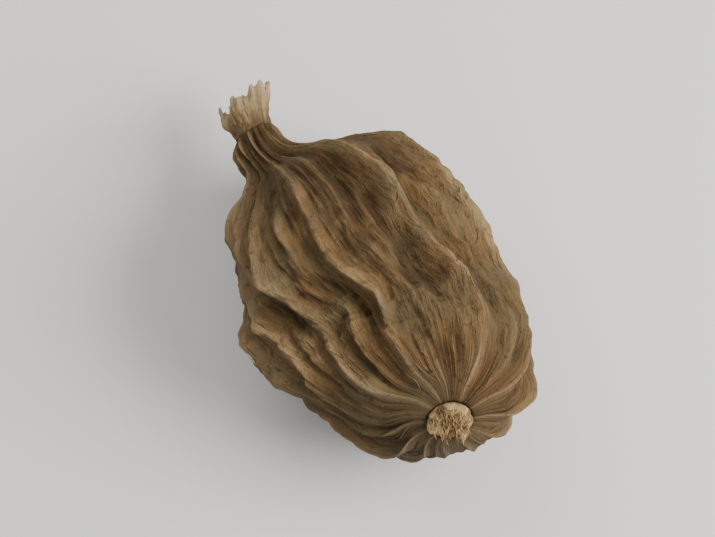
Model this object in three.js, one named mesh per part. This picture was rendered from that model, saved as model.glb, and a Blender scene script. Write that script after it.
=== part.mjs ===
// A dried black cardamom pod lying on its side: a ribbed husk, the withered calyx of the flower
// at its narrow end, and the torn stub of the fruit stalk at its blunt end.
// Millimetres, +Z up. +X runs along the pod from the stalk to the calyx, and the origin is the
// middle of the small flat spot that the pod rests on.
import * as THREE from "three";

// Driving dimensions
const POD_WIDTH = 14.4;
const POD_THICKNESS = 13.2;
const HUSK_LENGTH = 21.2; // along the centreline, from the stalk's rim to the neck's rim
const REST_STATION = 10.0; // distance along the centreline at which the pod rests
const REST_PRESS = 0.82; // how deep the flat spot is pressed into the underside
const STALK_SOCKET = { radius: 1.15, depth: 0.8 };
const CALYX_SOCKET = { radius: 0.95, depth: 0.8 };
const SOCKET_GAP = 0.12; // clearance round the roots that sit in the two sockets
const SOCKET_FLOOR = 0.8; // a socket's floor has this share of its mouth's radius

// Rings along each piece and points round each ring
const HUSK_GRID = { rings: 46, points: 104 };
const CALYX_GRID = { rings: 22, points: 42 };
const STALK_GRID = { rings: 12, points: 30 };

const TURN = 2 * Math.PI;
const FLATTENING = POD_THICKNESS / POD_WIDTH;

// A fixed draw from 0 to 1 for rib number i and property number k.
function draw(i, k) {
  const wave = Math.sin(i * 127.1 + k * 311.7 + 7.3) * 43758.5453;
  return wave - Math.floor(wave);
}

function smoothStep(low, high, value) {
  const t = THREE.MathUtils.clamp((value - low) / (high - low), 0, 1);
  return t * t * (3 - 2 * t);
}

function bell(value, middle, reach) {
  return Math.exp(-(((value - middle) / reach) ** 2));
}

function sum(values) {
  return values.reduce((total, value) => total + value, 0);
}

// The signed angle from b to a, between minus half a turn and half a turn.
function angleBetween(a, b) {
  return a - b - TURN * Math.round((a - b) / TURN);
}

// The centreline turns up and to one side at the stalk, so that the stub shows from above, and
// sinks a little towards the neck.
const STALK_TURN = { length: 13, rise: 4.4, sideways: 1.9 };
const NECK_TURN = { length: 8, drop: 0.7 };
const MIDDLE_HEIGHT = POD_THICKNESS / 2 - REST_PRESS;

// The body's middle sways to +Y. So does the neck, which leaves the square shoulder on the -Y side
// and comes back towards the middle at the calyx.
const BODY_SWAY = { sideways: 1.1, station: 9, reach: 4.8 };
const NECK_SWAY = { sideways: 1.75, station: 20.2, reach: 3.1 };

function sway(station) {
  return sum(
    [BODY_SWAY, NECK_SWAY].map((bend) => bend.sideways * bell(station, bend.station, bend.reach)),
  );
}

function centreline(station) {
  const q = Math.max(0, 1 - station / STALK_TURN.length);
  const n = Math.max(0, (station - HUSK_LENGTH + NECK_TURN.length) / NECK_TURN.length);
  const qSlope = (-3 * q * q) / STALK_TURN.length;
  const nSlope = (2 * n) / NECK_TURN.length;
  const centre = new THREE.Vector3(
    station - REST_STATION,
    STALK_TURN.sideways * q ** 3 + sway(station) - sway(REST_STATION),
    MIDDLE_HEIGHT + STALK_TURN.rise * q ** 3 - NECK_TURN.drop * n ** 2,
  );
  const along = new THREE.Vector3(
    1,
    STALK_TURN.sideways * qSlope,
    STALK_TURN.rise * qSlope - NECK_TURN.drop * nSlope,
  ).normalize();
  const side = new THREE.Vector3(0, 0, 1).cross(along).normalize();
  const up = along.clone().cross(side);
  return { centre, side, up };
}

// The point at a reach from the centreline, at an angle from +Y towards +Z.
function pointRound(station, reach, angle) {
  const { centre, side, up } = centreline(station);
  return centre
    .addScaledVector(side, reach * Math.cos(angle))
    .addScaledVector(up, reach * Math.sin(angle) * FLATTENING);
}

// A closed body of rings. Its first and last rings are single points, and place(share, angle)
// gives the point at a share of the way along and an angle round.
function closedRings({ rings, points }, place) {
  const positions = [place(0, 0).toArray()];
  for (let i = 1; i < rings; i++)
    for (let j = 0; j < points; j++)
      positions.push(place(i / rings, (TURN * j) / points).toArray());
  positions.push(place(1, 0).toArray());
  const last = positions.length - 1;
  const at = (i, j) => 1 + (i - 1) * points + (j % points);
  const faces = [];
  for (let j = 0; j < points; j++) {
    faces.push(0, at(1, j + 1), at(1, j));
    faces.push(last, at(rings - 1, j), at(rings - 1, j + 1));
    for (let i = 1; i < rings - 1; i++) {
      faces.push(at(i, j), at(i, j + 1), at(i + 1, j));
      faces.push(at(i + 1, j), at(i, j + 1), at(i + 1, j + 1));
    }
  }
  const geometry = new THREE.BufferGeometry();
  geometry.setAttribute("position", new THREE.Float32BufferAttribute(positions.flat(), 3));
  geometry.setIndex(faces);
  geometry.computeVertexNormals();
  return geometry;
}

// A smooth profile through pairs of station and radius.
function profile(pairs) {
  return new THREE.SplineCurve(pairs.map(([station, radius]) => new THREE.Vector2(station, radius)));
}

// The husk's profile starts at the bottom of the stalk's socket, goes over that socket's rim,
// along the body and the neck, and down into the calyx's socket.
const huskProfile = profile([
  [STALK_SOCKET.depth, 0],
  [STALK_SOCKET.depth, STALK_SOCKET.radius * SOCKET_FLOOR],
  [STALK_SOCKET.depth * 0.4, STALK_SOCKET.radius],
  [0, STALK_SOCKET.radius + 0.3],
  [0.4, 3.0],
  [1.4, 4.65],
  [3.2, 5.75],
  [5.5, 6.3],
  [8.0, 6.6],
  [10.8, 6.8],
  [13.6, 6.4],
  [15.4, 5.7],
  [16.4, 5.0],
  [17.3, 3.9],
  [18.0, 2.6],
  [18.7, 1.85],
  [19.5, 1.45],
  [HUSK_LENGTH - 0.6, 1.3],
  [HUSK_LENGTH, CALYX_SOCKET.radius + 0.25],
  [HUSK_LENGTH - CALYX_SOCKET.depth * 0.4, CALYX_SOCKET.radius],
  [HUSK_LENGTH - CALYX_SOCKET.depth, CALYX_SOCKET.radius * SOCKET_FLOOR],
  [HUSK_LENGTH - CALYX_SOCKET.depth, 0],
]);
// The shares of that profile at which the ribbed outer wall begins and ends, each with its fade
const OUTER_WALL = { begins: [0.07, 0.15], ends: [0.92, 0.95] };

// Every rib follows one shared swirl, so the rings' points are swirled the same way. The ribs
// twist to one side and back, spread to the pod's flanks at the stalk, and wave a little.
const TWIST = { swing: 0.09, middle: 11, period: 16 };
const SPREAD = { swing: 0.3, reach: 7 };
const WAVE = { swing: 0.01, period: 8.5 };

function swirl(station, angle) {
  const twist = TWIST.swing * Math.sin(TURN * ((TWIST.middle - station) / TWIST.period));
  const spread = -SPREAD.swing * Math.cos(angle) * (1 - smoothStep(0, SPREAD.reach, station));
  const wave = WAVE.swing * Math.sin(TURN * (station / WAVE.period) + 2 * angle);
  return twist + spread + wave;
}

// How far a crest of height 1 stands out at an angle off its middle.
function crest(off, width) {
  return (1 + (off / width) ** 2) ** -1.5;
}

// Main ribs run from end to end, each with a width, a swell and a small wander of its own. Their
// places are in degrees round the middle of the pod, and their widths in radians.
const MAIN_RIBS = {
  places: [4, 26, 46, 75, 118, 155, 188, 220, 252, 284, 312, 338],
  height: 1.15,
  widths: [0.09, 0.135],
  wander: { swing: 0.018, period: 10 },
  swell: { middle: 0.85, swing: 0.2, period: 11 },
};

function mainRibs(station, angle) {
  const { places, height, widths, wander, swell } = MAIN_RIBS;
  const crests = places.map((degrees, i) => {
    const aside = wander.swing * Math.sin(TURN * (station / wander.period + draw(i, 2)));
    const off = angleBetween(angle, THREE.MathUtils.degToRad(degrees) + aside);
    const size = swell.middle + swell.swing * Math.sin(TURN * (station / swell.period + draw(i, 5)));
    return size * crest(off, THREE.MathUtils.lerp(...widths, draw(i, 4)));
  });
  return height * sum(crests);
}

// A thin rib stands in each gap between two main ribs and fades in and out along the pod.
const THIN_RIBS = {
  height: 0.7,
  width: 0.085,
  gapShares: [0.4, 0.6],
  swell: { middle: 0.6, swing: 0.4, period: 9 },
};

function thinRibs(station, angle) {
  const { height, width, gapShares, swell } = THIN_RIBS;
  const crests = MAIN_RIBS.places.map((degrees, i) => {
    const next = MAIN_RIBS.places[(i + 1) % MAIN_RIBS.places.length];
    const gap = THREE.MathUtils.euclideanModulo(next - degrees, 360);
    const place = degrees + gap * THREE.MathUtils.lerp(...gapShares, draw(i, 21));
    const off = angleBetween(angle, THREE.MathUtils.degToRad(place));
    const size = swell.middle + swell.swing * Math.sin(TURN * (station / swell.period + draw(i, 22)));
    return size * crest(off, width);
  });
  return height * sum(crests);
}

// Branch ribs leave one main rib and cross slantwise to the next.
const BRANCH_RIBS = {
  count: 12,
  height: 0.5,
  width: 0.12,
  slant: 0.35,
  unevenness: 0.8,
  middles: [4, 16],
  reaches: [3.2, 5.2],
};

function branchRibs(station, angle) {
  const { count, height, width, slant, unevenness, middles, reaches } = BRANCH_RIBS;
  let relief = 0;
  for (let i = 0; i < count; i++) {
    const middle = THREE.MathUtils.lerp(...middles, draw(i, 13));
    const reach = THREE.MathUtils.lerp(...reaches, draw(i, 14));
    const slope = (draw(i, 15) < 0.5 ? -slant : slant) / reach;
    const place = (TURN * (i + unevenness * draw(i, 11))) / count;
    const off = angleBetween(angle, place + slope * (station - middle));
    relief += bell(station, middle, reach) * crest(off, width);
  }
  return height * relief;
}

// Hollows where the drying husk has sunk between the ribs
const HOLLOWS = [
  { station: 15.6, angle: 1.72, length: 1.5, spread: 0.24, depth: 0.45 },
  { station: 14.2, angle: 2.35, length: 1.4, spread: 0.16, depth: 0.5 },
  { station: 12.2, angle: 1.65, length: 1.5, spread: 0.2, depth: 0.2 },
  { station: 7.8, angle: 1.9, length: 2.2, spread: 0.2, depth: 0.5 },
  { station: 9.8, angle: 1.22, length: 3.0, spread: 0.15, depth: 0.45 },
  { station: 8.8, angle: 0.68, length: 2.6, spread: 0.14, depth: 0.35 },
  { station: 17.6, angle: 0.82, length: 2.0, spread: 0.2, depth: 0.8 },
  { station: 13.0, angle: 3.6, length: 3.0, spread: 0.3, depth: 0.45 },
  { station: 6.0, angle: 5.7, length: 2.5, spread: 0.3, depth: 0.4 },
];

function hollows(station, angle) {
  const depths = HOLLOWS.map(
    (hollow) =>
      hollow.depth *
      bell(station, hollow.station, hollow.length) *
      bell(angleBetween(angle, hollow.angle), 0, hollow.spread),
  );
  return sum(depths);
}

// The section is a rounded three-sided oval, turned by this angle.
const THREE_SIDES = { bulge: 0.03, turned: 0.5 };
// The ribs' feet lie under the profile, and the ribs fade out where the husk narrows to its ends
// and on the flat spot.
const RIB_FOOT = 0.45;
const FULL_RIB_RADIUS = 5.5;
const FLAT_CALM = { share: 0.8, spread: 0.45 };

function huskPoint(share, gridAngle) {
  const { x: station, y: radius } = huskProfile.getPointAt(share);
  const outside =
    smoothStep(...OUTER_WALL.begins, share) * (1 - smoothStep(...OUTER_WALL.ends, share));
  const angle = gridAngle + outside * swirl(station, gridAngle);
  const room = Math.min(1, radius / FULL_RIB_RADIUS);
  const calm = 1 - FLAT_CALM.share * bell(angleBetween(angle, -TURN / 4), 0, FLAT_CALM.spread);
  const ribs =
    mainRibs(station, gridAngle) + thinRibs(station, gridAngle) + branchRibs(station, gridAngle);
  const relief = room * (calm * (ribs - hollows(station, angle)) - RIB_FOOT);
  const section = radius * THREE_SIDES.bulge * Math.cos(3 * (angle - THREE_SIDES.turned));
  const point = pointRound(station, radius + outside * (section + relief), angle);
  point.z = Math.max(0, point.z);
  return point;
}

// A sum of waves round a ring, which makes its edge uneven
function unevenRing(waves, angle) {
  return sum(waves.map((wave) => wave.share * Math.cos(wave.count * angle + wave.phase)));
}

// The calyx stands in the neck's socket. It widens into a crumpled frill of uneven lobes, whose
// lip folds in to a shallow cup.
const calyxProfile = profile([
  [-CALYX_SOCKET.depth + SOCKET_GAP, 0],
  [-CALYX_SOCKET.depth + SOCKET_GAP, CALYX_SOCKET.radius * SOCKET_FLOOR - SOCKET_GAP],
  [-CALYX_SOCKET.depth * 0.4, CALYX_SOCKET.radius - SOCKET_GAP],
  [0.1, 1.0],
  [0.6, 1.2],
  [1.3, 1.5],
  [1.9, 1.45],
  [2.15, 1.1],
  [1.9, 0.7],
  [1.65, 0.35],
  [1.6, 0],
]);
const CALYX_FLARE = [0.2, 1.6];
const CALYX_LOBES = { count: 5, depth: 0.1, reach: 0.12, twist: 0.5 };
const CALYX_CRUMPLE = { depth: 0.12, reach: 0.16 };
const CALYX_WAVES = [
  { count: 2, share: 1, phase: 0.8 },
  { count: 3, share: 0.6, phase: 2.1 },
];
const CALYX_LEAN = { sideways: 0.25, rise: 0.3 };

function calyxPoint(share, angle) {
  const { x: outward, y: radius } = calyxProfile.getPointAt(share);
  const flare = smoothStep(...CALYX_FLARE, outward);
  const lobe = Math.cos(CALYX_LOBES.count * angle + CALYX_LOBES.twist * outward);
  const uneven = unevenRing(CALYX_WAVES, angle);
  const widening = CALYX_LOBES.depth * lobe + CALYX_CRUMPLE.depth * uneven;
  const lengthening = CALYX_LOBES.reach * lobe + CALYX_CRUMPLE.reach * uneven;
  const station = HUSK_LENGTH + outward + flare * lengthening * radius;
  const point = pointRound(station, radius * (1 + flare * widening), angle);
  point.y += CALYX_LEAN.sideways * flare;
  point.z += CALYX_LEAN.rise * flare;
  return point;
}

// The stalk's stub stands in the other socket, and its torn end is uneven.
const stalkProfile = profile([
  [-0.2, 0],
  [-0.35, 0.5],
  [-0.32, 0.95],
  [0.05, 1.12],
  [STALK_SOCKET.depth * 0.35, STALK_SOCKET.radius - 1.3 * SOCKET_GAP],
  [STALK_SOCKET.depth - SOCKET_GAP, STALK_SOCKET.radius * SOCKET_FLOOR - SOCKET_GAP],
  [STALK_SOCKET.depth - SOCKET_GAP, 0],
]);
const TORN_END = { stations: [-0.35, 0.1], reach: 0.2, raggedness: 0.12 };
const TORN_WAVES = [
  { count: 3, share: 0.6, phase: 0.4 },
  { count: 7, share: 0.4, phase: 1.9 },
];

function stalkPoint(share, angle) {
  const { x: station, y: radius } = stalkProfile.getPointAt(share);
  const torn = 1 - smoothStep(...TORN_END.stations, station);
  const uneven = torn * unevenRing(TORN_WAVES, angle);
  const tornStation = station - TORN_END.reach * uneven * radius;
  return pointRound(tornStation, radius * (1 + TORN_END.raggedness * uneven), angle);
}

function mesh(name, grid, place, color, roughness) {
  const material = new THREE.MeshStandardMaterial({ color, roughness, metalness: 0 });
  const made = new THREE.Mesh(closedRings(grid, place), material);
  made.name = name;
  return made;
}

const pod = new THREE.Group();
pod.add(mesh("husk", HUSK_GRID, huskPoint, 0x6d583d, 0.85));
pod.add(mesh("calyx", CALYX_GRID, calyxPoint, 0x9c8663, 0.9));
pod.add(mesh("stalk_stub", STALK_GRID, stalkPoint, 0xa88a5e, 0.9));
export default pod;
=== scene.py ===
# %% [markdown]
# # A dried black cardamom pod
# The pod is the fruit of a ginger-like plant, picked whole and dried over a fire. Three things show:
# a husk with ribs from end to end, the withered flower on its narrow neck, and the torn stub of
# the fruit stalk in its blunt end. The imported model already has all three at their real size, as
# coarse solids. This lesson makes a fine piece for each one, in the same place, and then the
# dry, fibrous finishes that tell a spice from a pebble.
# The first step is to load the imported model. Everything made later is measured against its box.

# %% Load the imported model
import math

import bpy
import numpy as np
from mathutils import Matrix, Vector, noise


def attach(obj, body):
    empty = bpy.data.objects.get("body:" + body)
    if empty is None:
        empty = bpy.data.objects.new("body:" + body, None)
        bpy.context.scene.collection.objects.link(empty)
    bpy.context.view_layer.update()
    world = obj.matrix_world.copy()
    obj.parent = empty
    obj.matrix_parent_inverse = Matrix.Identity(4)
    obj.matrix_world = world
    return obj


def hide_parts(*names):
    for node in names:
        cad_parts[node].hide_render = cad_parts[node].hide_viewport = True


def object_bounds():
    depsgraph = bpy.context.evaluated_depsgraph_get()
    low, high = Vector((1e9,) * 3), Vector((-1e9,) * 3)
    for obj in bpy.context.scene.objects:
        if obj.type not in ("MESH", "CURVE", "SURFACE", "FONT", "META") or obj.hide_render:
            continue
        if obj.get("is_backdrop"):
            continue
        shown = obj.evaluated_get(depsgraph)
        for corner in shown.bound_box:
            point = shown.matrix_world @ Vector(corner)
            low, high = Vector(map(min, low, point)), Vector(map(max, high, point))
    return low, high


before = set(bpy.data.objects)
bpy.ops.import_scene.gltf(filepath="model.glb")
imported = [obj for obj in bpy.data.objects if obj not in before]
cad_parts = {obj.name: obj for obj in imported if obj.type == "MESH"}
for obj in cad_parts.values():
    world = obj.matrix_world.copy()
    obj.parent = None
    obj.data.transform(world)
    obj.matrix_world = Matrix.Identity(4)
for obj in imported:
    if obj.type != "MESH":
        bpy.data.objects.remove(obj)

MM = 0.001
TURN = 2 * math.pi
cad_low, cad_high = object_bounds()
print("packed box, mm:", [round((b - a) / MM, 2) for a, b in zip(cad_low, cad_high)])

# %% [markdown]
# ## The camera
# The pod lies on its side and is seen from well above, with its neck at the upper left and its
# blunt end turned a little towards the viewer. A long lens keeps a thing this small free of the
# bulging that a near camera gives. The distance follows from how many millimetres the picture
# should show across, so changing the lens later doesn't change the framing.

# %% Camera
AZIMUTH, ELEVATION = math.radians(237.3), math.radians(75)
LENS_MM = 160
PICTURE_WIDTH = 41 * MM
CLIP_RANGE = 20  # the camera sees from a twentieth of its distance to twenty times as far

middle = (cad_low + cad_high) / 2
to_camera = Vector((
    math.sin(AZIMUTH) * math.cos(ELEVATION),
    -math.cos(AZIMUTH) * math.cos(ELEVATION),
    math.sin(ELEVATION),
))
bpy.ops.object.camera_add()
camera = bpy.context.object
camera.data.lens = LENS_MM
camera_distance = PICTURE_WIDTH * LENS_MM / camera.data.sensor_width
camera.location = middle + to_camera * camera_distance
camera.rotation_euler = (-to_camera).to_track_quat("-Z", "Y").to_euler()
camera.data.clip_start = camera_distance / CLIP_RANGE
camera.data.clip_end = camera_distance * CLIP_RANGE
bpy.context.scene.camera = camera
print("camera stands", round(camera_distance / MM), "mm away")

# %% [markdown]
# ## Floor and light
# A plain pale floor shows the outline and catches a soft shadow. The main lamp stands to the right
# of the picture, across the ribs, so that each rib gets a light side and a dark side. A weak lamp
# at the upper left and an even sky keep the dark sides readable. Both lamps are wide for their
# distance, because a wide lamp gives the soft shadow edges of a studio light.

# %% Floor and light
FLOOR_SIZE = 1.2  # this size and the lamps' own are in metres
FLOOR_COLOUR = (0.76, 0.74, 0.70, 1)
FLOOR_ROUGHNESS = 0.9
LAMP_DISTANCE = 0.16
LAMPS = [
    # name, direction (to picture right, to picture up, height), size, power in watts
    ("key lamp", (0.95, -0.1, 0.8), 0.10, 0.43),
    ("fill lamp", (-0.5, 0.8, 0.9), 0.16, 0.13),
]
SKY = {"colour": (0.95, 0.97, 1.0, 1), "strength": 0.50}

picture_right = Vector((math.cos(AZIMUTH), math.sin(AZIMUTH), 0))
picture_up = Vector((-math.sin(AZIMUTH), math.cos(AZIMUTH), 0))


def deselect_all():
    bpy.ops.object.select_all(action="DESELECT")


def plain_material(name, colour, roughness):
    material = bpy.data.materials.new(name)
    material.use_nodes = True
    shader = material.node_tree.nodes["Principled BSDF"]
    shader.inputs["Base Color"].default_value = colour
    shader.inputs["Roughness"].default_value = roughness
    return material


def add_lamp(name, direction, size, power):
    """A square lamp that shines at the pod from a direction, given along the picture's own sides."""
    right, up, height = direction
    to_lamp = (picture_right * right + picture_up * up + Vector((0, 0, height))).normalized()
    bpy.ops.object.light_add(type="AREA", location=middle + to_lamp * LAMP_DISTANCE)
    lamp = bpy.context.object
    lamp.name = name
    lamp.rotation_euler = to_lamp.to_track_quat("Z", "Y").to_euler()
    lamp.data.size = size
    lamp.data.energy = power


bpy.ops.mesh.primitive_plane_add(size=FLOOR_SIZE)
floor = bpy.context.object
floor.name = "floor"
floor.data.materials.append(plain_material("pale floor", FLOOR_COLOUR, FLOOR_ROUGHNESS))
floor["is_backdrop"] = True

for lamp_values in LAMPS:
    add_lamp(*lamp_values)
world = bpy.data.worlds.new("even sky")
bpy.context.scene.world = world
world.use_nodes = True
world.node_tree.nodes["Background"].inputs["Color"].default_value = SKY["colour"]
world.node_tree.nodes["Background"].inputs["Strength"].default_value = SKY["strength"]

# %% [markdown]
# ## The line that the pod grew along
# The pod isn't straight. Its blunt end turns up, its middle sways to one side and its neck comes
# back. A curve object with the husk as a bevel could give that, but a bevel can't carry ribs that
# swell and wander. So the line is kept as a formula: for each distance from the stalk, called the
# station, it gives a centre and two directions across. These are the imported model's own values,
# so each fine piece ends up exactly where its solid is.

# %% Centreline
POD_WIDTH = 14.4
POD_THICKNESS = 13.2
HUSK_LENGTH = 21.2
REST_STATION = 10.0
REST_PRESS = 0.82
FLATTENING = POD_THICKNESS / POD_WIDTH
MIDDLE_HEIGHT = POD_THICKNESS / 2 - REST_PRESS
STALK_TURN = {"length": 13, "rise": 4.4, "sideways": 1.9}
NECK_TURN = {"length": 8, "drop": 0.7}
BODY_SWAY = {"sideways": 1.1, "station": 9, "reach": 4.8}
NECK_SWAY = {"sideways": 1.75, "station": 20.2, "reach": 3.1}


def bell(value, centre, reach):
    return np.exp(-(((value - centre) / reach) ** 2))


def smooth_step(low, high, value):
    t = np.clip((value - low) / (high - low), 0, 1)
    return t * t * (3 - 2 * t)


def sway(station):
    return sum(bend["sideways"] * bell(station, bend["station"], bend["reach"])
               for bend in (BODY_SWAY, NECK_SWAY))


def normalised(vectors):
    return vectors / np.linalg.norm(vectors, axis=-1, keepdims=True)


def centreline(station):
    """For stations in millimetres: the centres, the directions to the side and the directions up."""
    station = np.asarray(station, float)
    stalk = np.maximum(0, 1 - station / STALK_TURN["length"])
    neck = np.maximum(0, (station - HUSK_LENGTH + NECK_TURN["length"]) / NECK_TURN["length"])
    stalk_slope = -3 * stalk * stalk / STALK_TURN["length"]
    neck_slope = 2 * neck / NECK_TURN["length"]
    centre = np.stack([
        station - REST_STATION,
        STALK_TURN["sideways"] * stalk**3 + sway(station) - sway(REST_STATION),
        MIDDLE_HEIGHT + STALK_TURN["rise"] * stalk**3 - NECK_TURN["drop"] * neck**2,
    ], axis=-1)
    along = normalised(np.stack([
        np.ones_like(station),
        STALK_TURN["sideways"] * stalk_slope,
        STALK_TURN["rise"] * stalk_slope - NECK_TURN["drop"] * neck_slope,
    ], axis=-1))
    side = normalised(np.cross([0.0, 0.0, 1.0], along))
    return centre, side, np.cross(along, side)


def point_round(station, reach, angle):
    """Points at a reach from the centreline, at an angle from +Y towards +Z, in millimetres."""
    centre, side, up = centreline(station)
    across = side * (reach * np.cos(angle))[..., None]
    return centre + across + up * (reach * np.sin(angle) * FLATTENING)[..., None]


print("line from", centreline(0)[0].round(1), "to", centreline(HUSK_LENGTH)[0].round(1), "mm")

# %% [markdown]
# ## The husk's outline
# Cut lengthwise, the husk is a long egg with a neck. At each end it turns in to a small socket,
# where the stalk and the flower sit. The outline is a smooth curve through a few points of station
# and radius. A share from 0 to 1 then says how far along the outline a point lies.

# %% Outline
STALK_SOCKET = {"radius": 1.15, "depth": 0.8}
CALYX_SOCKET = {"radius": 0.95, "depth": 0.8}
SOCKET_FLOOR = 0.8  # a socket's floor has this share of its mouth's radius
HUSK_OUTLINE = [
    (STALK_SOCKET["depth"], 0),
    (STALK_SOCKET["depth"], STALK_SOCKET["radius"] * SOCKET_FLOOR),
    (STALK_SOCKET["depth"] * 0.4, STALK_SOCKET["radius"]),
    (0, STALK_SOCKET["radius"] + 0.3),
    (0.4, 3.0), (1.4, 4.65), (3.2, 5.75), (5.5, 6.3), (8.0, 6.6), (10.8, 6.8), (13.6, 6.4),
    (15.4, 5.7), (16.4, 5.0), (17.3, 3.9), (18.0, 2.6), (18.7, 1.85), (19.5, 1.45),
    (HUSK_LENGTH - 0.6, 1.3),
    (HUSK_LENGTH, CALYX_SOCKET["radius"] + 0.25),
    (HUSK_LENGTH - CALYX_SOCKET["depth"] * 0.4, CALYX_SOCKET["radius"]),
    (HUSK_LENGTH - CALYX_SOCKET["depth"], CALYX_SOCKET["radius"] * SOCKET_FLOOR),
    (HUSK_LENGTH - CALYX_SOCKET["depth"], 0),
]


def smooth_outline(pairs, steps=40):
    """A smooth curve through the pairs. Gives its points and each point's share of its length."""
    knots = np.array(pairs, float)
    start, end = knots[:-1], knots[1:]
    before = np.vstack([knots[:1], knots[:-2]])
    after = np.vstack([knots[2:], knots[-1:]])
    v0, v1 = (end - before) / 2, (after - start) / 2
    t = (np.arange(steps) / steps)[:, None, None]
    cubic = (2 * (start - end) + v0 + v1) * t**3
    square = (3 * (end - start) - 2 * v0 - v1) * t**2
    spans = cubic + square + v0 * t + start
    curve = np.vstack([spans.transpose(1, 0, 2).reshape(-1, 2), knots[-1:]])
    lengths = np.linalg.norm(np.diff(curve, axis=0), axis=1)
    shares = np.concatenate([[0], np.cumsum(lengths)]) / lengths.sum()
    return curve, shares


husk_curve, husk_shares = smooth_outline(HUSK_OUTLINE)
print("outline:", len(husk_curve), "points, widest radius", husk_curve[:, 1].max().round(2), "mm")

# %% [markdown]
# ## The main ribs
# As the fruit dries, its soft wall sinks and the stiff strands in it are left standing as ribs.
# The strongest run from end to end. They could be sculpted one by one, but ribs made by a formula
# meet the solid's ribs exactly, can be read back as a mask for the colours, and are the same each
# time the script runs. All ribs follow one swirl, because the pod twisted a little as it grew. A
# fixed draw takes the place of chance, so that no two ribs are alike.

# %% Main ribs
TWIST = {"swing": 0.09, "middle": 11, "period": 16}
SPREAD = {"swing": 0.3, "reach": 7}
WAVE = {"swing": 0.01, "period": 8.5, "lobes": 2}
MAIN_RIBS = {
    "places": [4, 26, 46, 75, 118, 155, 188, 220, 252, 284, 312, 338],  # degrees
    "height": 1.15,
    "widths": (0.09, 0.135),
    "wander": {"swing": 0.018, "period": 10},
    "swell": {"middle": 0.85, "swing": 0.2, "period": 11},
}


def draw(i, k):
    """A fixed draw from 0 to 1 for rib or fibre number i and property number k."""
    wave = math.sin(i * 127.1 + k * 311.7 + 7.3) * 43758.5453
    return wave - math.floor(wave)


def between(limits, share):
    return limits[0] + (limits[1] - limits[0]) * share


def angle_between(a, b):
    return a - b - TURN * np.round((a - b) / TURN)


def crest(off, width):
    return (1 + (off / width) ** 2) ** -1.5


def swirl(station, angle):
    """The turn that all ribs share: a twist to one side and back, a spread, and a small wave."""
    twist = TWIST["swing"] * np.sin(TURN * ((TWIST["middle"] - station) / TWIST["period"]))
    spread = -SPREAD["swing"] * np.cos(angle) * (1 - smooth_step(0, SPREAD["reach"], station))
    wave = WAVE["swing"] * np.sin(TURN * (station / WAVE["period"]) + WAVE["lobes"] * angle)
    return twist + spread + wave


def main_rib_offsets(station, angle):
    """For each main rib: how far each point is off its middle, its width, and its size there."""
    wander, swell = MAIN_RIBS["wander"], MAIN_RIBS["swell"]
    for i, degrees in enumerate(MAIN_RIBS["places"]):
        aside = wander["swing"] * np.sin(TURN * (station / wander["period"] + draw(i, 2)))
        off = angle_between(angle, math.radians(degrees) + aside)
        size = swell["middle"] + swell["swing"] * np.sin(TURN * (station / swell["period"] + draw(i, 5)))
        yield off, between(MAIN_RIBS["widths"], draw(i, 4)), size


def main_ribs(station, angle):
    ribs = main_rib_offsets(station, angle)
    return MAIN_RIBS["height"] * sum(size * crest(off, width) for off, width, size in ribs)


print("main ribs:", len(MAIN_RIBS["places"]), "about", MAIN_RIBS["height"], "mm high")

# %% [markdown]
# ## Thinner ribs
# Between two main ribs stands a thinner one, and a few branches cross slantwise, as veins do on a
# leaf. Copies of one modelled rib could do for these, but each would have to be fitted to the
# swirl. The same crest formula with less height follows it by itself.

# %% Thin ribs and branches
THIN_RIBS = {
    "height": 0.7,
    "width": 0.085,
    "gap_shares": (0.4, 0.6),
    "swell": {"middle": 0.6, "swing": 0.4, "period": 9},
}
BRANCH_RIBS = {
    "count": 12,
    "height": 0.5,
    "width": 0.12,
    "slant": 0.35,
    "unevenness": 0.8,
    "middles": (4, 16),
    "reaches": (3.2, 5.2),
}


def thin_ribs(station, angle):
    places, swell = MAIN_RIBS["places"], THIN_RIBS["swell"]
    relief = 0
    for i, degrees in enumerate(places):
        gap = (places[(i + 1) % len(places)] - degrees) % 360
        place = math.radians(degrees + gap * between(THIN_RIBS["gap_shares"], draw(i, 21)))
        size = swell["middle"] + swell["swing"] * np.sin(TURN * (station / swell["period"] + draw(i, 22)))
        relief = relief + size * crest(angle_between(angle, place), THIN_RIBS["width"])
    return THIN_RIBS["height"] * relief


def branch_ribs(station, angle):
    relief = 0
    for i in range(BRANCH_RIBS["count"]):
        middle = between(BRANCH_RIBS["middles"], draw(i, 13))
        reach = between(BRANCH_RIBS["reaches"], draw(i, 14))
        slope = (-1 if draw(i, 15) < 0.5 else 1) * BRANCH_RIBS["slant"] / reach
        place = TURN * (i + BRANCH_RIBS["unevenness"] * draw(i, 11)) / BRANCH_RIBS["count"]
        off = angle_between(angle, place + slope * (station - middle))
        relief = relief + bell(station, middle, reach) * crest(off, BRANCH_RIBS["width"])
    return BRANCH_RIBS["height"] * relief


print("thin ribs:", len(MAIN_RIBS["places"]), "and", BRANCH_RIBS["count"], "branches")

# %% [markdown]
# ## The sunken places
# Between the ribs the wall has sunk onto the seeds, more in some places than in others. The deep
# ones that show from above are listed, each with its station, its angle round the pod, how
# far it reaches and how deep it is.

# %% Hollows
HOLLOWS = [
    # station, angle, length, spread, depth
    (15.6, 1.72, 1.5, 0.24, 0.45),
    (14.2, 2.35, 1.4, 0.16, 0.5),
    (12.2, 1.65, 1.5, 0.2, 0.2),
    (7.8, 1.9, 2.2, 0.2, 0.5),
    (9.8, 1.22, 3.0, 0.15, 0.45),
    (8.8, 0.68, 2.6, 0.14, 0.35),
    (17.6, 0.82, 2.0, 0.2, 0.8),
    (13.0, 3.6, 3.0, 0.3, 0.45),
    (6.0, 5.7, 2.5, 0.3, 0.4),
]


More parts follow.
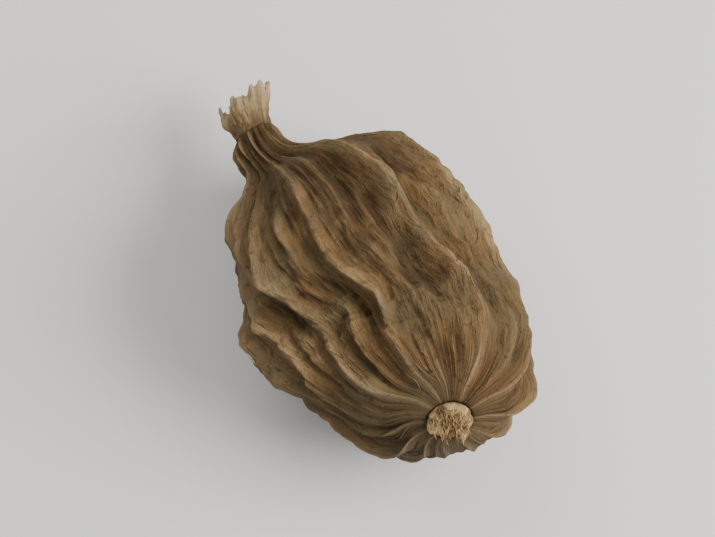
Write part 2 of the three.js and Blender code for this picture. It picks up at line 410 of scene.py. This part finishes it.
def hollows(station, angle):
    return sum(
        depth * bell(station, place, length) * bell(angle_between(angle, round_at), 0, spread)
        for place, round_at, length, spread, depth in HOLLOWS
    )


print("hollows:", len(HOLLOWS), "up to", max(depth for *_, depth in HOLLOWS), "mm deep")

# %% [markdown]
# ## The wrinkles between the ribs
# Up close the husk is crumpled: sharp folds a millimetre apart run with the ribs, finer ones lie on
# them, short creases cross them, and the wall between is lumpy. Noise that is stretched along the
# ribs gives the folds, and noise turned inside out at zero gives them their sharp backs. The noise
# is read on a drum whose lines follow the ribs, so it closes on itself without a seam.

# %% Wrinkles
DRUM_RADIUS = 7.0
FOLDS = [
    # size round, size along, height, in millimetres
    (1.6, 6.5, 0.32),
    (0.8, 3.6, 0.24),
    (0.42, 1.8, 0.13),
]
LUMPS = [
    (1.5, 0.5, 0.10),
    (1.6, 1.6, 0.22),
    (0.6, 0.5, 0.08),
]
BEND = {"angle": 0.14, "size": 5.0}  # how far the folds stray from the ribs, and how slowly
BEND_SHIFT, FOLD_SHIFT, LUMP_SHIFT = 11.0, 3.0, 20.0  # so that each layer reads noise of its own


def noise_on_drum(station, angle, size_round, size_along, shift=0.0):
    """Noise from -1 to 1 at each point, with features of the given size round and along."""
    x = np.cos(angle) * DRUM_RADIUS / size_round + shift
    y = np.sin(angle) * DRUM_RADIUS / size_round
    z = station / size_along
    return np.array([noise.noise(p) for p in np.column_stack([x, y, z])])


def wrinkles(station, angle):
    strayed = noise_on_drum(station, angle, BEND["size"], BEND["size"], shift=BEND_SHIFT)
    bent = angle + BEND["angle"] * strayed
    relief = 0
    for i, (size_round, size_along, height) in enumerate(FOLDS):
        ridge = 1 - 2 * np.abs(noise_on_drum(station, bent, size_round, size_along, shift=FOLD_SHIFT * i))
        relief = relief + height * (ridge - 0.5)
    for i, (size_round, size_along, height) in enumerate(LUMPS):
        lumps = noise_on_drum(station, bent, size_round, size_along, shift=LUMP_SHIFT + i)
        relief = relief + height * lumps
    return relief


print("wrinkles:", len(FOLDS), "sizes of fold and", len(LUMPS), "of lump")

# %% [markdown]
# ## A sheet to roll up
# A flat grid is rolled up into the husk, as a sheet of clay is rolled round a finger. One side of
# the grid says how far along the outline a point goes, and the other where round the pod. Where
# the sheet meets itself, and at its two ends, the doubled points are merged, so the skin is closed.
# A UV sphere has the same layout, but Blender is slow to make one this fine. The helpers that move
# the points, close the skin and bring it to real size serve the later pieces too.

# %% Sheet
HUSK_GRID = {"rings": 230, "points": 420}
MERGE_DISTANCE = 1e-4


def add_sheet(name, rings, points):
    """A flat grid, with each point's share along the outline and its angle round the pod."""
    deselect_all()
    # a size of 2 puts the points between -1 and 1
    bpy.ops.mesh.primitive_grid_add(x_subdivisions=points, y_subdivisions=rings, size=2)
    sheet = bpy.context.object
    sheet.name = name
    x, y, _ = places_of(sheet).T
    return sheet, (y + 1) / 2, (x + 1) / 2 * TURN


def places_of(piece):
    flat = np.empty(len(piece.data.vertices) * 3)
    piece.data.vertices.foreach_get("co", flat)
    return flat.reshape(-1, 3)


def put_at(piece, places):
    piece.data.vertices.foreach_set("co", places.astype(np.float32).ravel())
    piece.data.update()


def close_skin(piece):
    """Merges doubled points, turns all faces outwards and shades them smooth."""
    bpy.context.view_layer.objects.active = piece
    bpy.ops.object.mode_set(mode="EDIT")
    bpy.ops.mesh.select_all(action="SELECT")
    bpy.ops.mesh.remove_doubles(threshold=MERGE_DISTANCE)
    bpy.ops.mesh.normals_make_consistent(inside=False)
    bpy.ops.object.mode_set(mode="OBJECT")
    bpy.ops.object.shade_smooth()


def to_metres(piece):
    """Everything is modelled with one unit as a millimetre. This makes it real size for good."""
    deselect_all()
    piece.select_set(True)
    bpy.context.view_layer.objects.active = piece
    piece.scale = (MM, MM, MM)
    bpy.ops.object.transform_apply(location=False, rotation=False, scale=True)


husk, husk_share, grid_angle = add_sheet("ribbed_husk", HUSK_GRID["rings"], HUSK_GRID["points"])
print("sheet:", len(husk.data.vertices), "points")

# %% [markdown]
# ## The husk
# Here outline, ribs, hollows and wrinkles come together. Each point of the sheet goes out to the
# outline's radius and then as far as its relief says. Three things temper the relief: the narrow
# ends have less room for it, the underside is calm, and nothing goes below the floor, which gives
# the flat spot that the pod rests on. A wiry cord runs on each main crest. What the colours need
# later is kept with each point: how high it stands between valley and crest, and its place on the
# drum that the fibres follow.

# %% Husk
OUTER_WALL = {"begins": (0.07, 0.15), "ends": (0.92, 0.95)}  # shares along the outline
THREE_SIDES = {"count": 3, "bulge": 0.03, "turned": 0.5}
RIB_FOOT = 0.45  # the wall between the ribs lies this far inside the outline
FULL_RIB_RADIUS = 5.5  # where the pod is narrower than this, the ribs are lower
FULL_WRINKLE_RADIUS = 2.5
DOWN = -TURN / 4
FLAT_CALM = {"share": 0.8, "spread": 0.45}
# The cord's lighter line on each crest is partly rubbed wear and partly a painted highlight.
CORD = {"height": 0.26, "width": 0.28, "wear_and_highlight": 0.2}  # its width is a share of its rib's
HEIGHT_RANGE = (-0.3, 1.7)  # the heights in millimetres that count as valley and as crest


def keep_value(piece, name, values):
    attribute = piece.data.attributes.new(name, "FLOAT", "POINT")
    attribute.data.foreach_set("value", values.astype(np.float32))


def keep_vector(piece, name, vectors):
    attribute = piece.data.attributes.new(name, "FLOAT_VECTOR", "POINT")
    attribute.data.foreach_set("vector", vectors.astype(np.float32).ravel())


def drum_places(station, angle):
    return np.column_stack([np.cos(angle) * DRUM_RADIUS, np.sin(angle) * DRUM_RADIUS, station])


def husk_surface(share, grid_angle):
    """Places on the husk in millimetres, and how high each stands between valley (0) and crest (1)."""
    station = np.interp(share, husk_shares, husk_curve[:, 0])
    radius = np.interp(share, husk_shares, husk_curve[:, 1])
    outside = smooth_step(*OUTER_WALL["begins"], share) * (1 - smooth_step(*OUTER_WALL["ends"], share))
    angle = grid_angle + outside * swirl(station, grid_angle)
    room = np.minimum(1, radius / FULL_RIB_RADIUS)
    fine_room = np.minimum(1, radius / FULL_WRINKLE_RADIUS)
    calm = 1 - FLAT_CALM["share"] * bell(angle_between(angle, DOWN), 0, FLAT_CALM["spread"])
    cords = sum(size * crest(off, width * CORD["width"])
                for off, width, size in main_rib_offsets(station, grid_angle))
    ribs = main_ribs(station, grid_angle) + thin_ribs(station, grid_angle)
    height = ribs + branch_ribs(station, grid_angle) - hollows(station, angle)
    fine = wrinkles(station, grid_angle) + CORD["height"] * (cords - 0.5)
    relief = room * (calm * height - RIB_FOOT) + fine_room * calm * fine
    sides = np.cos(THREE_SIDES["count"] * (angle - THREE_SIDES["turned"]))
    section = radius * THREE_SIDES["bulge"] * sides
    places = point_round(station, radius + outside * (section + relief), angle)
    places[:, 2] = np.maximum(0, places[:, 2])
    # The tone is dark in the valleys and hollows and pale on the crests and cords: partly the husk's own
    # wear, partly painted shade and painted highlight.
    low, high = HEIGHT_RANGE
    return places, np.clip((height + fine - low) / (high - low) + CORD["wear_and_highlight"] * cords, 0, 1)


places, height = husk_surface(husk_share, grid_angle)
put_at(husk, places)
keep_value(husk, "height", height)
keep_vector(husk, "drum", drum_places(np.interp(husk_share, husk_shares, husk_curve[:, 0]), grid_angle))
close_skin(husk)
print("husk:", len(husk.data.polygons), "faces, mean height", height.mean().round(2))

# %% [markdown]
# ## One fibre
# Torn strands show in two places: loose on the husk, and as ends on the torn stalk. One fibre is
# modelled for both, and copied: a small disc is extruded and resized into a thin, pointed body of
# length 1. A cone would be quicker, but it has no rings between its ends, so it couldn't curl.

# %% One fibre
FIBRE_RINGS = [
    # height and radius
    (0, 0.010), (0.08, 0.034), (0.25, 0.036), (0.5, 0.032), (0.75, 0.022), (1, 0.006),
]
FIBRE_SIDES = 6


def turned_body(name, rings, points):
    """An upright closed body. A disc is extruded and resized through rings of height and radius."""
    deselect_all()
    height, radius = rings[0]
    bpy.ops.mesh.primitive_circle_add(vertices=points, radius=radius, fill_type="NGON",
                                      location=(0, 0, height))
    body = bpy.context.object
    body.name = name
    bpy.ops.object.transform_apply()
    bpy.ops.object.mode_set(mode="EDIT")
    bpy.ops.mesh.select_all(action="SELECT")
    for next_height, next_radius in rings[1:]:
        bpy.ops.mesh.extrude_region_move(
            TRANSFORM_OT_translate={"value": (0, 0, next_height - height)})
        bpy.ops.transform.resize(value=(next_radius / radius, next_radius / radius, 1))
        height, radius = next_height, next_radius
    bpy.ops.mesh.select_all(action="SELECT")
    bpy.ops.mesh.normals_make_consistent(inside=False)
    bpy.ops.object.mode_set(mode="OBJECT")
    bpy.ops.object.shade_smooth()
    return body


def add_copy(piece):
    """A copy of a piece, with a mesh of its own."""
    deselect_all()
    piece.select_set(True)
    bpy.context.view_layer.objects.active = piece
    bpy.ops.object.duplicate()
    return bpy.context.object


def join(pieces):
    """Joins the pieces into the first one."""
    deselect_all()
    for piece in pieces:
        piece.select_set(True)
    bpy.context.view_layer.objects.active = pieces[0]
    bpy.ops.object.join()
    bpy.ops.object.transform_apply()
    return pieces[0]


fibre = turned_body("fibre", FIBRE_RINGS, FIBRE_SIDES)
print("fibre:", len(fibre.data.polygons), "faces")

# %% [markdown]
# ## Loose fibres on the husk
# Handling has pulled a few fibres loose along the crests and round the torn stalk. Each copy is
# laid along the rib that it came from. Every point of it takes the husk's own place there, so it
# hugs the wrinkles, and towards its free end it lifts off. Only the side that faces up has any,
# where a hand rubs the pod. Straight copies would be simpler, but on a round husk they stand off
# like thorns.

# %% Loose fibres
LOOSE_FIBRES = {
    "spots": 150,
    "reaches": (0.018, 0.06),  # how much of the outline a fibre spans
    "strays": (-0.06, 0.06),  # how far round the pod its free end has moved, in radians
    "lifts": (0.05, 0.45),
}
CREST_SPOTS = {"shares": (0.2, 0.86), "aside": 0.1}
TORN_SPOTS = {"every": 4, "shares": (0.13, 0.18)}  # every fourth spot is round the torn stalk
FACES_UP = 0.35  # a spot is left bare if the husk there faces up less than this
FIBRE_TONE = 0.9  # as pale as a crest that is 0.9 of the way up
SURFACE_STEP = 0.003


def fibre_spot(i):
    """Where fibre i roots: its share along the outline and its angle round the pod."""
    if i % TORN_SPOTS["every"] == 0:
        return between(TORN_SPOTS["shares"], draw(i, 41)), TURN * draw(i, 42)
    rib = MAIN_RIBS["places"][int(len(MAIN_RIBS["places"]) * draw(i, 43))]
    aside = CREST_SPOTS["aside"] * (draw(i, 44) - 0.5)
    return between(CREST_SPOTS["shares"], draw(i, 45)), math.radians(rib) + aside


def lay_along_rib(fibre, i, share, angle, outwards):
    """Lays fibre i on the husk from its root. Its own height becomes the way along the rib."""
    x, y, t = places_of(fibre).T
    way = 1 if draw(i, 46) < 0.5 else -1
    shares = share + way * between(LOOSE_FIBRES["reaches"], draw(i, 47)) * t
    angles = angle + between(LOOSE_FIBRES["strays"], draw(i, 48)) * t**2
    middles = husk_surface(shares, angles)[0]
    across = normalised(np.cross(middles[-1] - middles[0], outwards))
    lift = x + between(LOOSE_FIBRES["lifts"], draw(i, 49)) * t**2
    put_at(fibre, middles + y[:, None] * across + lift[:, None] * outwards)


share, angle = np.array([fibre_spot(i) for i in range(LOOSE_FIBRES["spots"])]).T
root = husk_surface(share, angle)[0]
along = husk_surface(share + SURFACE_STEP, angle)[0] - root
around = husk_surface(share, angle + SURFACE_STEP)[0] - root
outwards = normalised(np.cross(around, along))
loose_fibres = []
for i in np.flatnonzero(outwards[:, 2] > FACES_UP):
    loose_fibres.append(add_copy(fibre))
    lay_along_rib(loose_fibres[-1], i, share[i], angle[i], outwards[i])
loose = join(loose_fibres)
keep_value(loose, "height", np.full(len(loose.data.vertices), FIBRE_TONE))
keep_vector(loose, "drum", places_of(loose))
husk = join([husk, loose])
to_metres(husk)
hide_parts("husk")
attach(husk, "root")
print("husk with", len(loose_fibres), "loose fibres:", len(husk.data.polygons), "faces")

# %% [markdown]
# ## The withered flower
# The calyx stays on the fruit's neck as a dry, papery tube with a torn lip. It starts upright as a
# disc that is extruded and resized ring by ring: up the outside, over the lip, and down into the
# cup. A Subdivision Surface modifier rounds the rings. Its outline could be spun instead, but that
# leaves a seam to merge.

# %% Calyx tube
RING_POINTS = 48
ROUNDING_LEVELS = 2
CALYX_RINGS = [
    # height above the neck's rim and radius, in millimetres
    (-0.68, 0.62), (-0.32, 0.81), (-0.05, 1.08), (0.12, 1.22), (0.4, 1.17), (0.8, 1.24), (1.2, 1.38),
    (1.6, 1.5), (2.0, 1.49),
    (2.1, 1.44), (1.97, 1.37), (1.5, 1.26), (1.05, 0.98), (0.72, 0.5), (0.64, 0.15),
]


def apply_modifier(piece, kind, **settings):
    deselect_all()
    piece.select_set(True)
    bpy.context.view_layer.objects.active = piece
    modifier = piece.modifiers.new(kind.lower(), kind)
    for name, value in settings.items():
        setattr(modifier, name, value)
    bpy.ops.object.modifier_apply(modifier=modifier.name)


calyx = turned_body("withered_calyx", CALYX_RINGS, RING_POINTS)
apply_modifier(calyx, "SUBSURF", levels=ROUNDING_LEVELS)
print("calyx tube:", len(calyx.data.polygons), "faces")

# %% [markdown]
# ## Torn and crumpled paper
# A tube this even looks like a nozzle. So its lip is split into uneven lobes with torn edges, fine
# pleats run up its wall, and a Displace modifier with a cloud texture crumples the paper. Sculpting
# would do it too, but by hand, and not the same way twice. The upright tube is then laid on the
# pod's own line, where it leans over a little.

# %% Torn calyx
CALYX_FLARE = (0.2, 1.6)
CALYX_HEIGHT = 2.2
CALYX_LOBES = {"count": 5, "depth": 0.1, "reach": 0.12, "twist": 0.5}
CALYX_CRUMPLE = {"depth": 0.12, "reach": 0.16}
CALYX_WAVES = [(2, 1.0, 0.8), (3, 0.6, 2.1)]  # count round the ring, share, phase
CALYX_LEAN = {"sideways": 0.25, "rise": 0.3}
PLEATS = {"count": 19, "depth": 0.045}
TORN_LIP = {"heights": (1.2, 2.0), "reach": 0.6, "size": 0.35, "shift": 4.0}
PAPER_CRUMPLE = {"strength": 0.27, "size": 0.6}
CLOUD_DETAIL = 3


def crumple(piece, strength, size):
    clouds = bpy.data.textures.new(piece.name + " clouds", "CLOUDS")
    clouds.noise_scale = size
    clouds.noise_depth = CLOUD_DETAIL
    apply_modifier(piece, "DISPLACE", texture=clouds, strength=strength, mid_level=0.5)


def uneven_ring(waves, angle):
    return sum(share * np.cos(count * angle + phase) for count, share, phase in waves)


def ring_noise(angle, size, shift):
    """Noise from -1 to 1 round a ring of radius 1."""
    x, y = np.cos(angle) / size + shift, np.sin(angle) / size
    return np.array([noise.noise(p) for p in np.column_stack([x, y, np.full_like(x, shift)])])


def lay_on_line(piece, start_station, direction, lean):
    """Bends an upright piece onto the pod's own line, starting at a station."""
    x, y, z = places_of(piece).T
    places = point_round(start_station + direction * z, np.hypot(x, y), np.arctan2(y, x))
    flare = smooth_step(*CALYX_FLARE, z)[:, None]
    put_at(piece, places + flare * np.array([0, lean["sideways"], lean["rise"]]))
    close_skin(piece)
    to_metres(piece)


x, y, z = places_of(calyx).T
angle, radius = np.arctan2(y, x), np.hypot(x, y)
flare = smooth_step(*CALYX_FLARE, z)
lobe = np.cos(CALYX_LOBES["count"] * angle + CALYX_LOBES["twist"] * z)
uneven = uneven_ring(CALYX_WAVES, angle)
wider = 1 + flare * (CALYX_LOBES["depth"] * lobe + CALYX_CRUMPLE["depth"] * uneven
                     + PLEATS["depth"] * np.cos(PLEATS["count"] * angle))
longer = flare * radius * (CALYX_LOBES["reach"] * lobe + CALYX_CRUMPLE["reach"] * uneven)
torn = smooth_step(*TORN_LIP["heights"], z) * ring_noise(angle, TORN_LIP["size"], TORN_LIP["shift"])
put_at(calyx, np.column_stack([x * wider, y * wider, z + longer + TORN_LIP["reach"] * torn]))
crumple(calyx, **PAPER_CRUMPLE)
upright = places_of(calyx)
keep_value(calyx, "height", np.clip(upright[:, 2] / CALYX_HEIGHT, 0, 1))
keep_vector(calyx, "drum", upright)
lay_on_line(calyx, HUSK_LENGTH, 1, CALYX_LEAN)
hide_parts("calyx")
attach(calyx, "root")
print("calyx:", len(calyx.data.polygons), "faces")

# %% [markdown]
# ## The torn stalk
# The fruit was pulled off its stalk, so the blunt end holds a pale stub whose face is torn. It is
# made as the calyx was, and crumpled too. What shows that wood was torn and not cut are the fibre
# ends, so copies of the same fibre stand on the face, each with a length, a lean and a curl of its
# own. They go round the face by the golden angle, which spreads them evenly without rows.

# %% Stalk stub
STUB_RINGS = [
    # height outwards from the husk's rim and radius, in millimetres
    (-0.68, 0.78), (-0.3, 0.98), (-0.1, 1.15), (0.1, 1.34), (0.24, 1.2), (0.34, 0.9), (0.3, 0.55),
    (0.2, 0.2),
]
TORN_WAVES = [(3, 0.6, 0.4), (7, 0.4, 1.9)]
TORN_END = {"heights": (-0.1, 0.35), "reach": 0.2, "raggedness": 0.12}
STUB_CRUMPLE = {"strength": 0.14, "size": 0.25}
STUB_HEIGHTS = (-0.2, 0.6)  # the heights that count as its darkest and palest
FIBRES = {
    "count": 190, "lengths": (0.2, 0.55), "face_radius": 1.12, "root_height": 0.15, "lean": 0.25,
    "curl": 0.35,
}
GOLDEN_ANGLE = math.radians(137.5)
NO_LEAN = {"sideways": 0, "rise": 0}


def stand_on_face(fibre, i):
    """Stands fibre end i on the torn face, with a length, a lean and a curl of its own."""
    reach = FIBRES["face_radius"] * math.sqrt((i + 0.5) / FIBRES["count"])
    angle = i * GOLDEN_ANGLE
    root_height = FIBRES["root_height"] + TORN_END["reach"] * uneven_ring(TORN_WAVES, angle) * reach
    lean = [FIBRES["lean"] * (draw(i, k) - 0.5) for k in (32, 33)]
    curl = [FIBRES["curl"] * (draw(i, k) - 0.5) for k in (34, 35)]
    x, y, t = places_of(fibre).T
    put_at(fibre, np.column_stack([
        x + reach * math.cos(angle) + lean[0] * t + curl[0] * t**2,
        y + reach * math.sin(angle) + lean[1] * t + curl[1] * t**2,
        root_height + between(FIBRES["lengths"], draw(i, 31)) * t,
    ]))


stub = turned_body("torn_stalk", STUB_RINGS, RING_POINTS)
apply_modifier(stub, "SUBSURF", levels=ROUNDING_LEVELS)
x, y, z = places_of(stub).T
uneven = smooth_step(*TORN_END["heights"], z) * uneven_ring(TORN_WAVES, np.arctan2(y, x))
wider = 1 + TORN_END["raggedness"] * uneven
put_at(stub, np.column_stack([x * wider, y * wider, z + TORN_END["reach"] * uneven * np.hypot(x, y)]))
crumple(stub, **STUB_CRUMPLE)
fibre_ends = [add_copy(fibre) for i in range(FIBRES["count"])]
for i, fibre_end in enumerate(fibre_ends):
    stand_on_face(fibre_end, i)
bpy.data.objects.remove(fibre)
stub = join([stub, *fibre_ends])
upright = places_of(stub)
keep_value(stub, "height", np.clip((upright[:, 2] - STUB_HEIGHTS[0]) / np.ptp(STUB_HEIGHTS), 0, 1))
keep_vector(stub, "drum", upright)
lay_on_line(stub, 0, -1, NO_LEAN)
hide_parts("stalk_stub")
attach(stub, "root")
print("stalk stub:", len(stub.data.polygons), "faces, with", FIBRES["count"], "fibre ends")

# %% [markdown]
# ## Shader nodes in a few words
# In the shader editor a node is added, its values are typed in and its sockets are joined by hand.
# Here one call does all three, so that a finish reads like a recipe. A second helper makes noise,
# and a third spreads its middle values, because plain noise is grey nearly everywhere.

# %% Node helpers
NOISE_DETAIL, NOISE_ROUGHNESS = 3.0, 0.6


def add_node(tree, kind, inputs=None, **settings):
    """Adds a shader node. Each input takes a plain value or another node's output."""
    node = tree.nodes.new("ShaderNode" + kind)
    for name, value in settings.items():
        setattr(node, name, value)
    for name, value in (inputs or {}).items():
        if isinstance(value, bpy.types.NodeSocket):
            tree.links.new(value, node.inputs[name])
        else:
            node.inputs[name].default_value = value
    return node


def noise_value(tree, place, scale, detail=NOISE_DETAIL, distortion=0.0):
    found = add_node(tree, "TexNoise", {
        "Vector": place, "Scale": scale, "Detail": detail, "Roughness": NOISE_ROUGHNESS,
        "Distortion": distortion,
    })
    return found.outputs["Fac"]


def stretch_contrast(tree, value, low, high):
    """Spreads the values between low and high over 0 to 1."""
    ranged = add_node(tree, "MapRange", {"Value": value, "From Min": low, "From Max": high})
    return ranged.outputs["Result"]


print("plain noise:", NOISE_DETAIL, "layers of detail, roughness", NOISE_ROUGHNESS)

# %% [markdown]
# ## Two effects that all three finishes share
# Everything on the pod is dry plant fibre, so all three finishes need the same two effects. Each is
# a node group, built once. The first turns the places on the drum into broad streaks and thin
# threads that run with the ribs. The second reads places in millimetres and gives blotches, small
# specks and a fine grain, which follow no direction. An image could be painted instead, but noise
# stays sharp however near the camera comes.

# %% Shared effects
BROAD_STREAKS = {"scale": 1.1, "distortion": 0.4}  # a scale is a number per millimetre
THREADS = {"scale": 4.5, "detail": 4}
STRETCH = (1, 1, 0.14)  # streaks and threads run seven times as far along the pod as round it
STREAK_CONTRAST = (0.3, 0.7)
MOTTLES = [
    # name, scale, and the noise values that become 0 and 1
    ("Blotches", 0.35, 0.38, 0.62),
    ("Specks", 2.6, 0.58, 0.72),
    ("Grain", 9.0, 0.25, 0.75),
]


def new_group(name, inputs, outputs):
    group = bpy.data.node_groups.new(name, "ShaderNodeTree")
    for direction, sockets in (("INPUT", inputs), ("OUTPUT", outputs)):
        for label, kind in sockets.items():
            group.interface.new_socket(label, in_out=direction, socket_type="NodeSocket" + kind)
    return group, group.nodes.new("NodeGroupInput"), group.nodes.new("NodeGroupOutput")


streaks_group, group_in, group_out = new_group(
    "fibre streaks", {"Drum": "Vector"}, {"Streaks": "Float", "Threads": "Float"})
stretched = add_node(streaks_group, "VectorMath", {0: group_in.outputs["Drum"], 1: STRETCH},
                     operation="MULTIPLY").outputs[0]
for label, noise_settings in (("Streaks", BROAD_STREAKS), ("Threads", THREADS)):
    found = noise_value(streaks_group, stretched, **noise_settings)
    spread = stretch_contrast(streaks_group, found, *STREAK_CONTRAST)
    streaks_group.links.new(spread, group_out.inputs[label])

mottle_group, group_in, group_out = new_group(
    "mottle", {"Position": "Vector"}, {"Blotches": "Float", "Specks": "Float", "Grain": "Float"})
for label, scale, low, high in MOTTLES:
    found = noise_value(mottle_group, group_in.outputs["Position"], scale)
    mottle_group.links.new(stretch_contrast(mottle_group, found, low, high), group_out.inputs[label])
print("node groups:", [group.name for group in bpy.data.node_groups])

# %% [markdown]
# ## The colours of smoke-dried husk
# The colour runs from a dark warm brown in the valleys to a greyish tan on the crests. Part of that
# is the husk's own colour, rubbed lighter on the crests by handling, and part is painted shade in
# the valleys and painted highlight on the crests. The calyx and the torn stalk are lighter. Blotches
# then tint some places olive, the places between them are a little rusty, and specks darken a few
# more. All colours are linear, as the shader takes them.

# %% Colours
# The valley end is dark partly as painted shade, and the crest end is pale partly as painted highlight,
# on top of the husk's own rubbed crests.
HUSK_TONES_WITH_PAINTED_SHADE = [
    # place between valley and crest, linear colour
    (0.0, (0.060, 0.031, 0.010)),
    (0.22, (0.110, 0.062, 0.021)),
    (0.5, (0.160, 0.099, 0.040)),
    (0.78, (0.205, 0.133, 0.058)),
    (1.0, (0.300, 0.205, 0.097)),
]
CALYX_TONES = [
    (0.0, (0.10, 0.060, 0.025)),
    (0.3, (0.17, 0.110, 0.050)),
    (0.6, (0.30, 0.210, 0.105)),
    (1.0, (0.43, 0.315, 0.170)),
]
STUB_TONES = [
    (0.0, (0.10, 0.06, 0.028)),
    (0.5, (0.30, 0.20, 0.09)),
    (1.0, (0.52, 0.375, 0.185)),
]
OLIVE = (0.115, 0.088, 0.040, 1)
SMOKE = (0.028, 0.016, 0.007, 1)
SMOKE_SHARE = 0.6
RUST_TINT = (1.07, 0.95, 0.86, 1)
RUST_SHARE = 0.7


def mix_colour(tree, factor, a, b, blend="MIX"):
    # a Mix node numbers its sockets by kind: 6, 7 and output 2 are the ones for colours
    mixed = add_node(tree, "Mix", {0: factor, 6: a, 7: b}, data_type="RGBA", blend_type=blend)
    return mixed.outputs[2]


def math_value(tree, operation, a, b):
    return add_node(tree, "Math", {0: a, 1: b}, operation=operation).outputs[0]


def tone_colour(tree, tone, tones):
    """The colour for a tone from 0 to 1, from a list of places and colours."""
    ramp = add_node(tree, "ValToRGB", {"Fac": tone})
    ends = ramp.color_ramp.elements
    ends[0].position, ends[0].color = tones[0][0], (*tones[0][1], 1)
    ends[1].position, ends[1].color = tones[-1][0], (*tones[-1][1], 1)
    for place, colour in tones[1:-1]:
        ends.new(place).color = (*colour, 1)
    return ramp.outputs["Color"]


def weathered(tree, colour, mottle, olive_share):
    """Tints the blotches olive and the places between them rusty, and darkens the specks."""
    blotches = mottle.outputs["Blotches"]
    olive = math_value(tree, "MULTIPLY", blotches, olive_share)
    tinted = mix_colour(tree, olive, colour, OLIVE)
    rusty = math_value(tree, "MULTIPLY", math_value(tree, "SUBTRACT", 1, blotches), RUST_SHARE)
    tinted = mix_colour(tree, rusty, tinted, RUST_TINT, "MULTIPLY")
    smoky = math_value(tree, "MULTIPLY", mottle.outputs["Specks"], SMOKE_SHARE)
    return mix_colour(tree, smoky, tinted, SMOKE)


print("tones for husk, calyx and stub:", len(HUSK_TONES_WITH_PAINTED_SHADE), len(CALYX_TONES), len(STUB_TONES))

# %% [markdown]
# ## The finishes
# One function makes all three finishes, because only their tones and strengths differ. The tone is
# the height between valley and crest, and streaks and threads shift it up and down, so that its
# steps never follow the height exactly. Crests are a little smoother than valleys. Threads and
# grain also go into the bump, which stands for relief that is too fine for the mesh.

# %% Finishes
STREAK_SHARE = 0.5  # how far streaks and threads shift the tone
SPECULAR = 0.25
GRAIN_SHARE = 0.4
BUMP_STRENGTH = 0.9
FINISHES = [
    # piece, name, tones, share of olive, roughness in valleys and on crests, bump in millimetres
    (husk, "smoke-dried husk", HUSK_TONES_WITH_PAINTED_SHADE, 0.45, (0.85, 0.60), 0.18),
    (calyx, "papery calyx", CALYX_TONES, 0.1, (0.9, 0.75), 0.08),
    (stub, "torn wood", STUB_TONES, 0.05, (0.95, 0.8), 0.08),
]


def fibre_finish(name, tones, olive_share, roughness, bump_mm):
    material = plain_material(name, (*tones[-1][1], 1), roughness[0])
    tree = material.node_tree
    shader = tree.nodes["Principled BSDF"]
    height = add_node(tree, "Attribute", attribute_name="height").outputs["Fac"]
    drum = add_node(tree, "Attribute", attribute_name="drum").outputs["Vector"]
    position = add_node(tree, "TexCoord").outputs["Object"]
    in_mm = add_node(tree, "VectorMath", {0: position, "Scale": 1 / MM}, operation="SCALE").outputs[0]
    streaks = add_node(tree, "Group", {"Drum": drum}, node_tree=streaks_group)
    mottle = add_node(tree, "Group", {"Position": in_mm}, node_tree=mottle_group)

    tone = height
    for label in ("Streaks", "Threads"):
        centred = math_value(tree, "SUBTRACT", streaks.outputs[label], 0.5)
        tone = math_value(tree, "ADD", tone, math_value(tree, "MULTIPLY", centred, STREAK_SHARE))
    colour = weathered(tree, tone_colour(tree, tone, tones), mottle, olive_share)
    tree.links.new(colour, shader.inputs["Base Color"])

    rough = add_node(tree, "MapRange", {"Value": tone, "To Min": roughness[0], "To Max": roughness[1]})
    tree.links.new(rough.outputs["Result"], shader.inputs["Roughness"])
    shader.inputs["Specular IOR Level"].default_value = SPECULAR

    grain = math_value(tree, "MULTIPLY", mottle.outputs["Grain"], GRAIN_SHARE)
    surface = math_value(tree, "ADD", streaks.outputs["Threads"], grain)
    bump = add_node(tree, "Bump", {
        "Height": surface, "Strength": BUMP_STRENGTH, "Distance": bump_mm * MM,
    })
    tree.links.new(bump.outputs["Normal"], shader.inputs["Normal"])
    return material


for piece, *finish_values in FINISHES:
    piece.data.materials.append(fibre_finish(*finish_values))
print("finishes:", [piece.data.materials[0].name for piece, *_ in FINISHES])

# %% [markdown]
# ## Print the sizes
# The finished box is printed here, and the imported box was printed when the model was loaded, so
# that the two can be compared.

# %% Sizes and finish
bpy.context.view_layer.update()
low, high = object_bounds()
print("finished box, mm:", [round((b - a) / MM, 2) for a, b in zip(low, high)])
